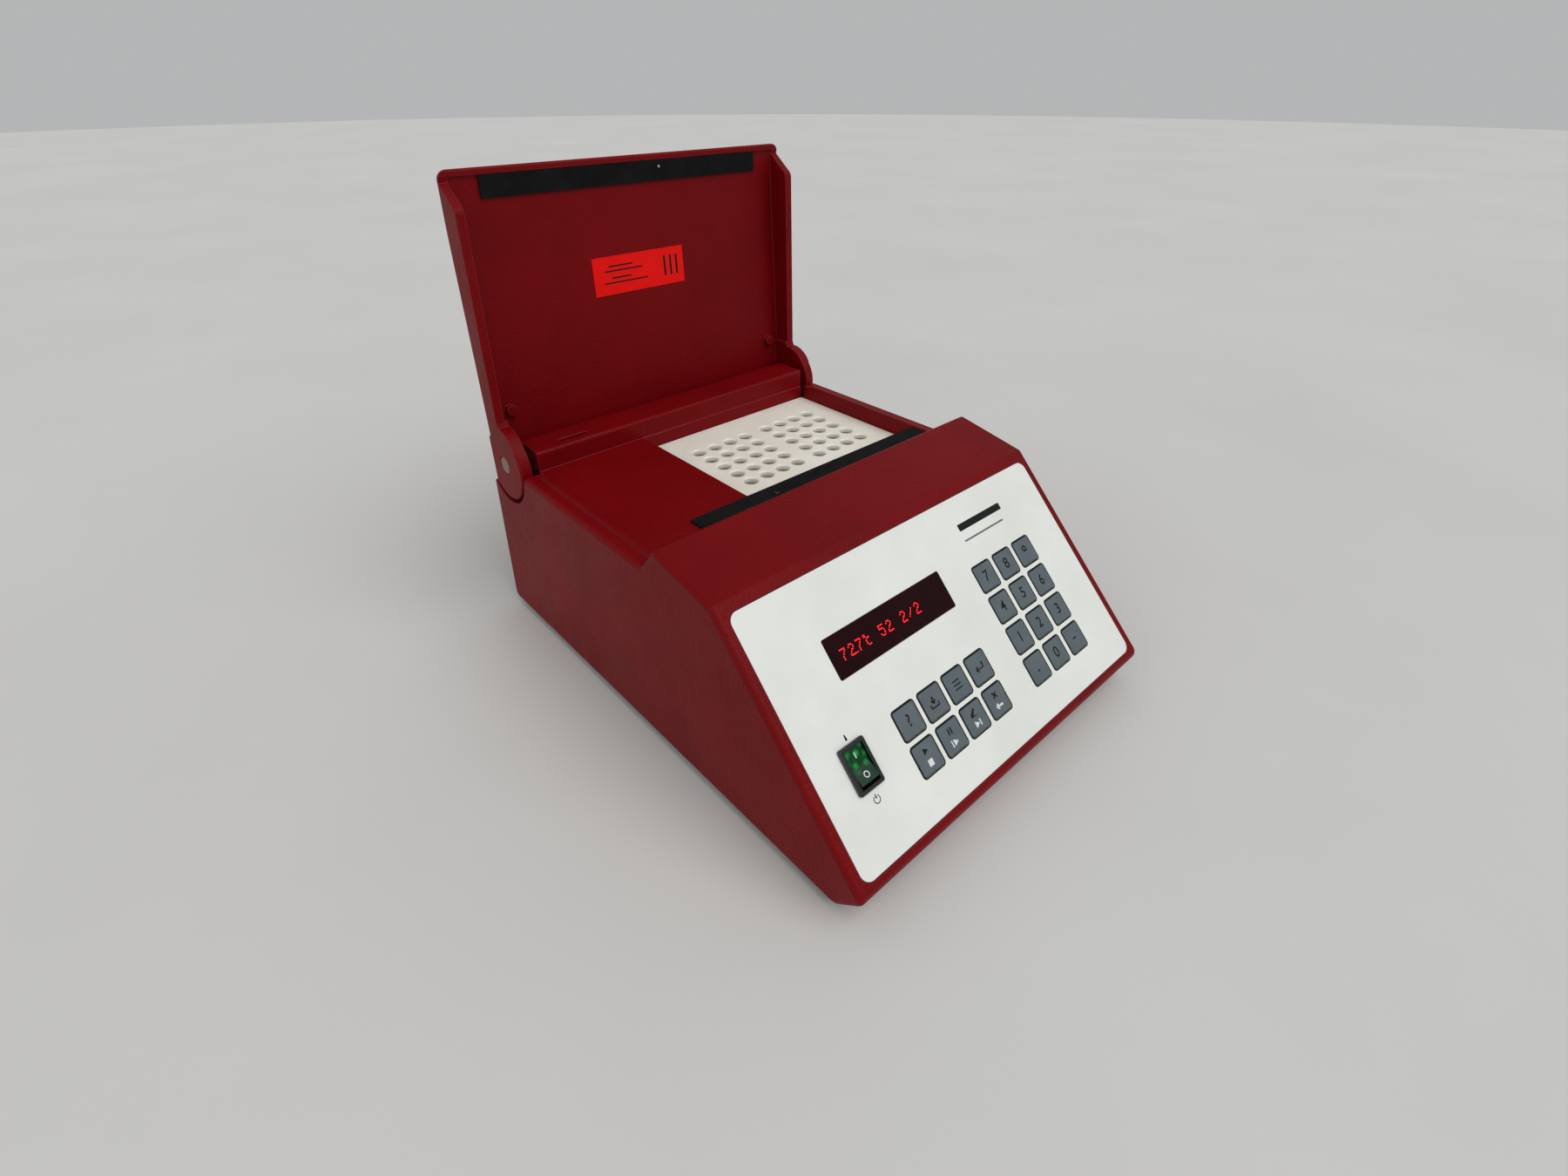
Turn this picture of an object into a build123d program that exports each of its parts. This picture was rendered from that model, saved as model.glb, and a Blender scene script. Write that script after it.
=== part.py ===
"""Bench-top thermal cycler: wedge casing, hinged lid, 40-well block and keypad.

Frame: +X to the operator's right, +Y to the back, +Z up, millimetres.
Design coordinates start at the nose of the casing (Y) and at its lower edge
(Z); every piece is shifted once, on saving, so that the feet stand on Z = 0
and the middle of the overall depth lies on Y = 0.
"""
import math
import os

from build123d import *

# ---- overall casing ---------------------------------------------------
WIDTH = 230.0          # casing width
DEPTH = 299.5          # rear wall plane
LEDGE_Z = 103.2        # ledge the lid rim closes down on
WALL = 4.0             # moulded wall thickness
FOOT_H = 4.0           # feet below the casing edge
Y_MID = 149.61         # middle of the overall depth, shifted to Y = 0
EDGE_R = 3.0           # rounding of the long outer edges

# ---- sloping front panel ----------------------------------------------
PANEL_SLOPE = 45.55    # degrees above horizontal
PANEL_Y, PANEL_Z = 38.6, 62.5
OVERLAY_W, OVERLAY_H = 218.6, 120.8
OVERLAY_R = 5.0
OVERLAY_T = 0.7
PLATE_T = 2.0
BORDER = 5.95          # casing frame around the overlay
SINK = 0.3             # overlay face below the frame face
FIT = 0.3              # general assembly gap per side

# ---- hood between panel and sample deck -------------------------------
CREST_Y, CREST_Z = 127.0, 118.0
SCOOP_Y = 138.6        # foot of the hood's rear slope

# ---- keys --------------------------------------------------------------
KEY_W, KEY_H = 13.5, 13.4
KEY_GAP = 0.35
KEY_TRAVEL = 0.4
NUM_U, NUM_V, NUM_DU, NUM_DV = 37.6, 16.1, 18.0, 17.5
FUN_U, FUN_V, FUN_DU, FUN_DV = -51.2, -18.7, 17.7, 17.4

# ---- display and switch ------------------------------------------------
DISP_U, DISP_V, DISP_W, DISP_H = -32.5, 21.8, 81.8, 19.4
SW_U, SW_V, SW_W, SW_H = -85.3, -21.4, 15.0, 21.0
ROCKER_TILT = 9.0      # rocker angle either side of level
ROCKER_R = 6.0         # radius of the rocker's round flanks

# ---- hinge -------------------------------------------------------------
PIN_Y, PIN_Z = 278.5, 103.3
CELLS, CELL_PITCH = 14, 5.08   # display characters
PIN_HEAD_R = 5.5
PIN_R = 3.0
PIN_RUN = 0.05         # radial running clearance of the lid arm on the pin
ARM_R = 21.0
ARM_GAP = 2.5          # casing cut-out around the arm
ARM_IN = 108.3         # inner face of the arm
HUMP_HALF = 103.0      # half length of the rear hump
ARM_STEP_D = 25.5      # the thick arm ends this far along the lid
ARM_SWELL = [(-50, 20.9), (-40, 21.6), (-30, 22.1), (-20, 22.5), (-10, 22.7), (0, 22.7)]  # arm front: angle, radius
BARREL_R = 11.0        # round back of the hump, about the hinge line
HUMP_Y = 259.0
OPEN_DEG = 92.0        # lid angle as it rests open

# ---- lid (d forward of the hinge, h above it, lid closed) ----------------
LID_RIM_H = 1.0
LID_WALL = 5.0
LID_SKIN = 3.0
LID_BACK_D = -9.0
LID_TOP_H0 = 15.0      # top surface over the hinge
LID_TOP_H1 = 19.3      # top surface near the front
LID_CROWN_D = 128.0
STRIP_D = 142.6              # lower edge of the foam strip in the lid
LIP_D, LIP_H = 154.5, 14.8   # front lip behind the foam strip: start and lower face
LID_KNEE = (151.8, 15.6)     # where the side edge turns from the slope to the lip
CORNER_R = 5.0               # round front corners of the lid
LID_FOOT_D = 139.8     # front end of the rim
LID_TIP_D, LID_TIP_H = 158.0, 18.8
LABEL_W, LABEL_H, LABEL_D = 65.8, 22.6, 91.8

# ---- sample deck ---------------------------------------------------------
DECK_Z = 102.4
LIP_IN, LIP_OUT, LIP_Z = 104.0, 107.2, 104.4
REC_X0, REC_X1, REC_Y0, REC_Y1 = -32.6, 104.0, 157.5, 258.6
COVER_Z = 93.9
COVER_T = 3.0
WELL_X0, WELL_Y0 = -9.1, 183.0
WELL_PITCH = 12.5
WELL_SPLIT = 5.9       # extra gap between the two groups of four columns
WELL_COLS, WELL_ROWS = 8, 5
COVER_HOLE_R = 4.1
WELL_R = 3.9
WELL_TIP_R = 2.4
WELL_DEPTH = 24.0
WELL_STRAIGHT = 10.0   # parallel upper part of a well, tapered below
SEAL_T = 1.4           # thickness of the two black sealing strips

# ---- block, cooling and electronics ---------------------------------------
BLOCK_TOP = COVER_Z - COVER_T - 0.4
BLOCK_H = 30.0
PELTIER_T = 3.8
SINK_BASE_T = 8.0
FIN_H, FIN_T, FIN_COUNT = 30.0, 1.6, 19
BASE_Z0, BASE_T = 1.0, 2.0
FAN_SIZE, FAN_DEPTH = 70.0, 25.0
FAN_X, FAN_Z = 40.0, 42.0
FAN_BORE_R = 33.0
FAN_HOLE = 30.75        # half spacing of the fan screws

HALF = WIDTH / 2
SL = math.radians(PANEL_SLOPE)
PANEL = Plane(origin=(0, PANEL_Y, PANEL_Z), x_dir=(1, 0, 0),
              z_dir=(0, -math.sin(SL), math.cos(SL))).location
HALF_V = OVERLAY_H / 2 + BORDER
PLATE_TOP = -SINK - OVERLAY_T
PLATE_BOT = PLATE_TOP - PLATE_T


# ---- small helpers --------------------------------------------------------
def block(x0, x1, y0, y1, z0, z1):
    """Axis-aligned box from its limits."""
    return Pos((x0 + x1) / 2, (y0 + y1) / 2, (z0 + z1) / 2) * Box(x1 - x0, y1 - y0, z1 - z0)


def slab(u, v, w0, w1, wide, high, r=0.0):
    """Plate parallel to the front panel, with rounded corners."""
    face = RectangleRounded(wide, high, r) if r else Rectangle(wide, high)
    return PANEL * Pos(u, v, w0) * extrude(face, w1 - w0)


def rod_x(x0, x1, y, z, r):
    """Cylinder along X."""
    return Pos((x0 + x1) / 2, y, z) * Rot(0, 90, 0) * Cylinder(r, x1 - x0)


def rod_y(x, y0, y1, z, r):
    """Cylinder along Y."""
    return Pos(x, (y0 + y1) / 2, z) * Rot(90, 0, 0) * Cylinder(r, y1 - y0)


def rod_z(x, y, z0, z1, r):
    """Cylinder along Z."""
    return Pos(x, y, (z0 + z1) / 2) * Cylinder(r, z1 - z0)


def side_face(points):
    """Closed outline in the Y-Z plane as a face."""
    return make_face(Polyline([(0, y, z) for y, z in points], close=True))


def across(face, x0, x1):
    """Side outline swept from x0 to x1."""
    return Pos(x0, 0, 0) * extrude(face, x1 - x0, dir=(1, 0, 0))


def round_corners(face, picks):
    """Round chosen corners of a side outline; picks are (y, z, radius)."""
    for y, z, r in picks:
        corner = face.vertices().sort_by_distance((0, y, z))[0]
        face = fillet(corner, r)
    return face


def mirrored(shape):
    """The piece and its mirror image across the middle plane."""
    return [shape, mirror(shape, about=Plane.YZ)]


def save(name, *solids):
    """Shift to the object frame and write one STEP file."""
    flat = []
    for s in solids:
        flat += list(s.solids())
    moved = [Pos(0, -Y_MID, FOOT_H) * s for s in flat]
    export_step(moved[0] if len(moved) == 1 else Compound(children=moved), f"parts/{name}.step")


def panel_yz(v, w):
    """Y and Z of a point on the front panel."""
    return (PANEL_Y + v * math.cos(SL) - w * math.sin(SL), PANEL_Z + v * math.sin(SL) + w * math.cos(SL))


def lid_yz(d, h, angle):
    """Y and Z of a lid point with the lid opened by an angle."""
    a = math.radians(angle)
    return (PIN_Y - d * math.cos(a) + h * math.sin(a), PIN_Z + d * math.sin(a) + h * math.cos(a))


WELLS = [(WELL_X0 + c * WELL_PITCH + (WELL_SPLIT if c >= WELL_COLS // 2 else 0), WELL_Y0 + r * WELL_PITCH)
         for r in range(WELL_ROWS) for c in range(WELL_COLS)]
NUM_KEYS = [(NUM_U + c * NUM_DU, NUM_V - r * NUM_DV) for r in range(4) for c in range(3)]
FUN_KEYS = [(FUN_U + c * FUN_DU, FUN_V - r * FUN_DV) for r in range(2) for c in range(4)]
NUM_NAMES = ["7", "8", "9", "4", "5", "6", "1", "2", "3", "dot", "0", "minus"]
FUN_NAMES = ["help", "store", "menu", "enter", "start", "pause", "edit", "clear"]


# ---- casing ----------------------------------------------------------------
def casing_outline():
    """Side outline of the casing, hump included."""
    foot = panel_yz(-HALF_V, 0)
    top = panel_yz(HALF_V, 0)
    rear_shelf = PIN_Z - 17.3
    mid = (PIN_Y + BARREL_R, PIN_Z)
    a = math.radians(-47)
    under = (PIN_Y + BARREL_R * math.cos(a), PIN_Z + BARREL_R * math.sin(a))
    edges = Polyline([(0, *p) for p in [
        (PIN_Y, PIN_Z + BARREL_R), (HUMP_Y, PIN_Z + BARREL_R), (HUMP_Y, LEDGE_Z), (SCOOP_Y, LEDGE_Z),
        (CREST_Y, CREST_Z), top, foot, (foot[0] + 15.5, 0), (DEPTH, 0), (DEPTH, rear_shelf),
        (under[0], rear_shelf), under]])
    arc = ThreePointArc((0, *under), (0, *mid), (0, PIN_Y, PIN_Z + BARREL_R))
    face = make_face(Curve() + edges + arc)
    return round_corners(face, [(*foot, 5), (foot[0] + 15.5, 0, 7), (DEPTH, 0, 5), (SCOOP_Y, LEDGE_Z, 4),
                                (CREST_Y, CREST_Z, 2), (*top, 2), (HUMP_Y, PIN_Z + BARREL_R, 2)])


def make_case():
    """Moulded casing, open underneath."""
    outline = casing_outline()
    body = across(outline, -HALF, HALF)
    for sign in (-1, 1):
        side = body.faces().sort_by(Axis.X)[-1 if sign > 0 else 0]
        rim = [e for e in side.edges() if e.center().Z > 6 and e.center().Y < DEPTH - 1]
        rim = [e for e in rim if e.center().Y < HUMP_Y - 5 or e.center().Z < 60]
        body = fillet(rim, EDGE_R)

    cavity = across(offset(outline, -WALL), -HALF + WALL, HALF - WALL)
    ring = slab(0, 0, -9, 1, WIDTH, 2 * HALF_V + 2)
    tub = block(REC_X0 - WALL, HALF, REC_Y0 - WALL, REC_Y1 + WALL, COVER_Z - COVER_T - 3.5, LEDGE_Z + 5)
    cavity = cavity - ring - tub
    for s in (-1, 1):
        x0, x1 = sorted((s * (HUMP_HALF - WALL), s * (HALF + 1)))
        cavity = cavity - rod_x(x0, x1, PIN_Y, PIN_Z, ARM_R + ARM_GAP + WALL)
        cavity = cavity - block(x0, x1, HUMP_Y - 14, DEPTH + 1, LEDGE_Z - WALL, 130)
        cut0, cut1 = sorted((s * HUMP_HALF, s * (HALF + 1)))
        body = body - rod_x(cut0, cut1, PIN_Y, PIN_Z, ARM_R + ARM_GAP)
        body = body - block(cut0, cut1, HUMP_Y - 14, DEPTH + 1, LEDGE_Z, 130)
    cavity = cavity + block(-HALF + WALL, HALF - WALL, 14, DEPTH - WALL, -1, 9)
    body = body - cavity

    # raised lip beside the deck, deck floor and sample recess
    lip = block(LIP_IN, LIP_OUT, SCOOP_Y + 4, 249, LEDGE_Z - 1, LIP_Z)
    body = body + mirrored(fillet(lip.edges().filter_by(Axis.Y).group_by(Axis.Z)[-1], 0.5))[0]
    body = body + mirrored(fillet(lip.edges().filter_by(Axis.Y).group_by(Axis.Z)[-1], 0.5))[1]
    body = body - block(-LIP_IN, LIP_IN, SCOOP_Y + 1.2, HUMP_Y, DECK_Z, LEDGE_Z + 4)
    recess = block(REC_X0, REC_X1, REC_Y0, REC_Y1, COVER_Z - COVER_T, LEDGE_Z + 4)
    body = body - fillet(recess.edges().filter_by(Axis.Z), 2)
    body = body - block(REC_X0 + 4, REC_X1 - 4, REC_Y0 + 4, REC_Y1 - 4, 80, COVER_Z)

    # seat of the front panel and the opening behind it
    body = body - slab(0, 0, PLATE_BOT, 2, OVERLAY_W + 2 * FIT, OVERLAY_H + 2 * FIT, OVERLAY_R + FIT)
    body = body - slab(0, 0, -12, 0, OVERLAY_W - 14, OVERLAY_H - 14, 3)

    # hinge pin holes, lid stops, slot in the hump
    for s in (-1, 1):
        x0, x1 = sorted((s * (HUMP_HALF - 9), s * (HUMP_HALF + 1)))
        body = body + rod_x(*sorted((s * (HUMP_HALF - 8), s * (HUMP_HALF - 2))), PIN_Y, PIN_Z, 7)
        body = body - rod_x(x0, x1, PIN_Y, PIN_Z, PIN_R)
        stop_z = lid_yz(LID_BACK_D, LID_TOP_H0, OPEN_DEG)[1] - 0.1
        body = body + block(s * 60 - 6, s * 60 + 6, 292.0, 297.0, PIN_Z - 19, stop_z)
    slot = Pos(-76, 266, PIN_Z + BARREL_R) * extrude(SlotOverall(19, 4.0), 6, both=True)
    body = body - slot

    # bosses for the base screws, down to the base plate
    for x, y in BASE_SCREWS:
        body = body + (rod_z(x, y, BASE_Z0 + BASE_T, 34, 5) - rod_z(x, y, 0, 24, 1.6))
        rib = block(min(x, math.copysign(HALF - 2, x)), max(x, math.copysign(HALF - 2, x)), y - 1.5, y + 1.5, 6, 34)
        body = body + (rib - rod_z(x, y, 0, 34, 4))

    # rear wall: fan grille, mains inlet, data socket
    for i in range(9):
        z = FAN_Z - 24 + i * 6
        half = math.sqrt(29.0 ** 2 - (z - FAN_Z) ** 2)
        body = body - block(FAN_X - half, FAN_X + half, DEPTH - 6, DEPTH + 1, z - 1.6, z + 1.6)
    for dx, dz in FAN_HOLES:
        body = body - rod_y(FAN_X + dx, DEPTH - 6, DEPTH + 1, FAN_Z + dz, 2.2)
    body = body - block(INLET_X - 14, INLET_X + 14, DEPTH - 6, DEPTH + 1, INLET_Z - 10.2, INLET_Z + 10.2)
    for dx in (-20, 20):
        body = body - rod_y(INLET_X + dx, DEPTH - 6, DEPTH + 1, INLET_Z, 1.6)
    body = body - block(DATA_X - 9, DATA_X + 9, DEPTH - 6, DEPTH + 1, DATA_Z - 5, DATA_Z + 5)
    for dx in (-12.5, 12.5):
        body = body - rod_y(DATA_X + dx, DEPTH - 6, DEPTH + 1, DATA_Z, 1.6)
    return body


FAN_HOLES = [(dx, dz) for dx in (-FAN_HOLE, FAN_HOLE) for dz in (-FAN_HOLE, FAN_HOLE)]
INLET_X, INLET_Z = -80.0, 36.0
DATA_X, DATA_Z = -30.0, 36.0
BASE_SCREWS = [(sx * 104.0, y) for sx in (-1, 1) for y in (40.0, 138.0, 268.0)]
FEET = [(sx * 92.0, y) for sx in (-1, 1) for y in (34.0, 272.0)]


def make_base():
    """Sheet-metal base plate with intake slots."""
    plate = block(-HALF + WALL + FIT, HALF - WALL - FIT, 14 + FIT, DEPTH - WALL - FIT, BASE_Z0, BASE_Z0 + BASE_T)
    plate = fillet(plate.edges().filter_by(Axis.Z), 4)
    for x, y in BASE_SCREWS:
        plate = plate - rod_z(x, y, 0, 9, 2.0)
    for i in range(12):
        y = 170 + i * 7
        plate = plate - Pos(36, y, 0) * extrude(SlotOverall(70, 3.0), 9)
    for x, y in FEET:
        plate = plate - rod_z(x, y, 0, 9, 2.4)
    return plate


def make_foot(x, y):
    """Rubber foot with a plug that snaps through the base plate."""
    foot = Pos(x, y, -FOOT_H) * extrude(Circle(8), BASE_Z0 + FOOT_H, taper=-6)
    foot = foot + rod_z(x, y, BASE_Z0 - 1, BASE_Z0 + BASE_T + 0.2, 2.35)
    return foot + rod_z(x, y, BASE_Z0 + BASE_T + 0.2, BASE_Z0 + BASE_T + 2.2, 3.4)


def pan_screw(x, y, z, length, r=1.55, head=3.0):
    """Pan-head screw, head below, shank up."""
    screw = rod_z(x, y, z, z + length, r) + rod_z(x, y, z - 1.2, z, head)
    cross = block(x - 1.8, x + 1.8, y - 0.35, y + 0.35, z - 2, z - 0.6)
    return screw - cross - block(x - 0.35, x + 0.35, y - 1.8, y + 1.8, z - 2, z - 0.6)


# ---- lid ---------------------------------------------------------------------
def lid_outline(points, angle=OPEN_DEG):
    """Face in the Y-Z plane from lid coordinates."""
    return side_face([lid_yz(d, h, angle) for d, h in points])


def make_lid():
    """Lid moulding with its two hinge arms, in the open position."""
    slope = (LID_TOP_H1 - LID_TOP_H0) / LID_CROWN_D
    back_h = LID_TOP_H0 + slope * LID_BACK_D
    hull = lid_outline([(LID_BACK_D, LID_RIM_H), (LID_BACK_D, back_h), (LID_CROWN_D, LID_TOP_H1),
                        (LID_TIP_D, LID_TIP_H), (LID_TIP_D, LIP_H + 0.8), (LID_TIP_D - 0.8, LIP_H),
                        (LIP_D, LIP_H), LID_KNEE, (LID_FOOT_D, LID_RIM_H)])
    hull = round_corners(hull, [(*lid_yz(LID_FOOT_D, LID_RIM_H, OPEN_DEG), 5.0)])
    lid = across(hull, -HALF, HALF)

    def spot(edge):
        """Lid coordinates of an edge's middle."""
        c, a = edge.center(), math.radians(OPEN_DEG)
        rel_y, rel_z = c.Y - PIN_Y, c.Z - PIN_Z
        return -rel_y * math.cos(a) + rel_z * math.sin(a), rel_y * math.sin(a) + rel_z * math.cos(a)

    front = [e for e in lid.edges() if abs(e.center().X) > HALF - 0.1 and spot(e)[0] > LID_TIP_D - 0.1]
    lid = fillet(front, CORNER_R)
    top_edges = [e for e in lid.edges() if spot(e)[1] > LID_RIM_H + 10 and spot(e)[1] > LIP_H + 2.5 and spot(e)[0] > 0
                 and (abs(e.center().X) > HALF - CORNER_R or spot(e)[0] > LID_TIP_D - CORNER_R)]
    lid = fillet(top_edges, EDGE_R)

    # hollow underside, open to the rear between the arms
    c0 = LID_TOP_H0 - LID_SKIN
    c1 = LID_TOP_H1 - LID_SKIN
    inner = lid_outline([(LID_BACK_D - 2, LID_RIM_H - 30), (LID_BACK_D - 2, c0 + slope * (LID_BACK_D - 2)),
                         (LID_CROWN_D, c1), (LIP_D, c1), (LIP_D, LID_RIM_H - 30)])
    lid = lid - across(inner, -HALF + LID_WALL, HALF - LID_WALL)

    # arms: round ends about the hinge, flat on top, blended to the rim
    disc = Pos(0, PIN_Y, PIN_Z) * Rot(0, 90, 0) * Circle(ARM_R)
    cap = lid_outline([(-30, LID_TOP_H0 - 0.3), (30, LID_TOP_H0 + 0.7), (30, 60), (-30, 60)])
    swell = [(r * math.cos(math.radians(a)), r * math.sin(math.radians(a))) for a, r in ARM_SWELL]
    web = lid_outline(swell + [(ARM_STEP_D, LID_RIM_H), (ARM_STEP_D, 13), (-2, 13), (-2, -12)])
    arm = across(disc, ARM_IN, HALF) - across(cap, ARM_IN - 1, HALF + 1)
    round_end = [e for e in arm.edges().filter_by(GeomType.CIRCLE) if abs(e.center().X - HALF) < 0.01]
    arm = fillet(round_end, 1.2) + across(web, ARM_IN, HALF)
    arm = arm - rod_x(ARM_IN - 1, HALF + 1, PIN_Y, PIN_Z, PIN_HEAD_R + PIN_RUN)
    lid = lid - rod_x(-HALF - 1, HALF + 1, PIN_Y, PIN_Z, PIN_HEAD_R + PIN_RUN)
    for piece in mirrored(arm):
        lid = lid + piece

    # two small round studs under the skin near the arms
    for x in (-100.5, 100.5):
        y, z = lid_yz(27, c0 + 1.2, OPEN_DEG)
        stud = Pos(x, y, z) * Rot(-OPEN_DEG, 0, 0) * Pos(0, 0, -1.5) * Cylinder(3.2, 4)
        lid = lid + stud
    return lid


def make_lid_strip():
    """Black foam strip under the lid's front edge; it lands on the hood crest."""
    h = LID_TOP_H1 - LID_SKIN
    face = lid_outline([(STRIP_D, h), (LIP_D - 0.15, h), (LIP_D - 0.15, h - SEAL_T), (STRIP_D, h - SEAL_T)])
    return across(face, -94, 94)


def make_label():
    """Thin self-adhesive label inside the lid."""
    slope = (LID_TOP_H1 - LID_TOP_H0) / LID_CROWN_D
    d0, d1 = LABEL_D - LABEL_H / 2, LABEL_D + LABEL_H / 2
    h0 = LID_TOP_H0 - LID_SKIN
    face = lid_outline([(d0, h0 + slope * d0), (d1, h0 + slope * d1), (d1, h0 + slope * d1 - 0.25),
                        (d0, h0 + slope * d0 - 0.25)])
    return across(face, -LABEL_W / 2 - 1.3, LABEL_W / 2 - 1.3)


def make_pin(sign):
    """Hinge pin: wide head in the lid arm, shank fixed in the casing."""
    head = rod_x(ARM_IN - 0.6, HALF - 0.2, PIN_Y, PIN_Z, PIN_HEAD_R)
    head = chamfer(head.edges().group_by(Axis.X)[-1], 0.6)
    pin = head + rod_x(HUMP_HALF - 8.5, ARM_IN, PIN_Y, PIN_Z, PIN_R)
    pin = pin + rod_x(HUMP_HALF, ARM_IN - 0.6, PIN_Y, PIN_Z, 4.2)
    return pin if sign > 0 else mirror(pin, about=Plane.YZ)


# ---- front panel ---------------------------------------------------------------
def panel_holes(thick_lo, thick_hi, grow):
    """Openings for keys, switch and display."""
    cut = []
    for u, v in NUM_KEYS + FUN_KEYS:
        cut.append(slab(u, v, thick_lo, thick_hi, KEY_W + 2 * grow, KEY_H + 2 * grow, 1.0 + grow))
    cut.append(slab(SW_U, SW_V, thick_lo, thick_hi, SW_W - 1.6, SW_H - 1.6))
    return cut


def make_overlay():
    """White printed front sheet."""
    sheet = slab(0, 0, PLATE_TOP, -SINK, OVERLAY_W, OVERLAY_H, OVERLAY_R)
    for c in panel_holes(PLATE_TOP - 1, 1, KEY_GAP):
        sheet = sheet - c
    return sheet - slab(DISP_U, DISP_V, PLATE_TOP - 1, 1, DISP_W + 0.4, DISP_H + 0.4, 1.2)


def make_panel_plate():
    """Aluminium carrier plate behind the front sheet."""
    plate = slab(0, 0, PLATE_BOT, PLATE_TOP, OVERLAY_W, OVERLAY_H, OVERLAY_R)
    for c in panel_holes(PLATE_BOT - 1, 1, KEY_GAP):
        plate = plate - c
    return plate - slab(DISP_U, DISP_V, PLATE_BOT - 1, 1, DISP_W - 6, DISP_H - 4, 1.0)


def make_key(u, v):
    """Key cap with a retaining flange behind the plate."""
    cap = slab(u, v, PLATE_BOT - 0.9, -SINK + 0.25, KEY_W, KEY_H, 1.0)
    cap = chamfer(cap.faces().sort_by_distance(PANEL * Pos(u, v, 9) * Vertex(0, 0, 0))[0].edges(), 0.2)
    return cap + slab(u, v, PLATE_BOT - 0.9, PLATE_BOT - 0.1, KEY_W + 1.8, KEY_H + 1.8, 1.2)


MAT_TOP = PLATE_BOT - 0.9 - KEY_TRAVEL - 0.1
MAT_T, BOARD_T = 1.0, 1.6


def keypad_area(w0, w1, margin):
    """Area behind both key groups."""
    nu = (NUM_U + NUM_DU, NUM_V - 1.5 * NUM_DV, 2 * NUM_DU + KEY_W, 3 * NUM_DV + KEY_H)
    fu = (FUN_U + 1.5 * FUN_DU, FUN_V - 0.5 * FUN_DV, 3 * FUN_DU + KEY_W, FUN_DV + KEY_H)
    return [slab(a, b, w0, w1, c + 2 * margin, d + 2 * margin, 1.5) for a, b, c, d in (nu, fu)]


def make_display_window():
    """Dark red window seated on the carrier plate."""
    return slab(DISP_U, DISP_V, PLATE_TOP, -SINK, DISP_W, DISP_H, 1.0)


def make_display_cells():
    """Row of dot-matrix character cells behind the window."""
    cells = []
    for i in range(CELLS):
        u = DISP_U + (i - (CELLS - 1) / 2) * CELL_PITCH
        cells.append(slab(u, DISP_V, PLATE_BOT - 2.4, PLATE_BOT + 0.9, CELL_PITCH - 0.3, 9.0))
    return cells


def make_switch():
    """Black rocker-switch body with a proud bezel."""
    body = slab(SW_U, SW_V, -24, -SINK + 0.1, SW_W - 2, SW_H - 2)
    bezel = slab(SW_U, SW_V, -SINK, 1.7, SW_W, SW_H, 1.2)
    bezel = chamfer(bezel.faces().sort_by_distance(PANEL * Pos(SW_U, SW_V, 9) * Vertex(0, 0, 0))[0].edges(), 0.5)
    body = body + bezel
    return body - slab(SW_U, SW_V, -10.5, 3, ROCK_W + 0.5, ROCK_L + 0.6)


ROCK_W, ROCK_L = 10.6, 16.6
ROCK_AXIS_W = -3.0


def make_rocker():
    """Two-position rocker, upper (on) end pressed in."""
    w0 = ROCK_AXIS_W
    reach = ROCK_L / 2 - 0.1
    face = make_face(Polyline([(0, -reach, 0.0), (0, -reach + 0.6, 4.4), (0, 0, 3.3), (0, reach - 0.6, 4.4),
                               (0, reach, 0.0), (0, 3.4, -4.0), (0, -3.4, -4.0)], close=True))
    rocker = Pos(-ROCK_W / 2, 0, 0) * extrude(face, ROCK_W, dir=(1, 0, 0))
    rocker = rocker - Rot(0, 90, 0) * Cylinder(1.05, 40)
    return PANEL * Pos(SW_U, SW_V, w0) * Rot(-ROCKER_TILT, 0, 0) * rocker


def make_switch_axle():
    """Steel axle that the rocker turns on."""
    return PANEL * Pos(SW_U, SW_V, ROCK_AXIS_W) * Rot(0, 90, 0) * Cylinder(1.0, ROCK_W + 0.5)


def make_terminals():
    """Four push-on blades behind the switch."""
    return [slab(SW_U + du, SW_V + dv, -31, -24, 4.8, 0.8) for du in (-3.2, 3.2) for dv in (-6, 6)]


# ---- sample block and cooling -----------------------------------------------------
def make_cover():
    """White cover plate with softly countersunk holes."""
    plate = block(REC_X0 + FIT, REC_X1 - FIT, REC_Y0 + FIT, REC_Y1 - FIT, COVER_Z - COVER_T, COVER_Z)
    plate = fillet(plate.edges().filter_by(Axis.Z), 2)
    cuts = [rod_z(x, y, COVER_Z - COVER_T - 1, COVER_Z + 1, COVER_HOLE_R) for x, y in WELLS]
    cuts += [Pos(x, y, COVER_Z - 0.35) * Cone(COVER_HOLE_R, COVER_HOLE_R + 0.9, 0.9) for x, y in WELLS]
    return plate - cuts


BLK = (WELLS[0][0] - 10, WELLS[-1][0] + 10, WELLS[0][1] - 10, WELLS[-1][1] + 10)
BLOCK_BOT = BLOCK_TOP - BLOCK_H


def make_block():
    """Aluminium block with forty tapered wells."""
    blk = block(*BLK, BLOCK_BOT, BLOCK_TOP)
    cuts = []
    for x, y in WELLS:
        cuts.append(rod_z(x, y, BLOCK_TOP - WELL_STRAIGHT, BLOCK_TOP + 1, WELL_R))
        taper = WELL_DEPTH - WELL_STRAIGHT
        cuts.append(Pos(x, y, BLOCK_TOP - WELL_STRAIGHT - taper / 2) * Cone(WELL_TIP_R, WELL_R, taper))
    blk = blk - cuts
    return blk - rod_x(BLK[0] - 1, BLK[0] + 30, (BLK[2] + BLK[3]) / 2 + WELL_PITCH / 2, BLOCK_BOT + 3, 1.6)


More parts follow.
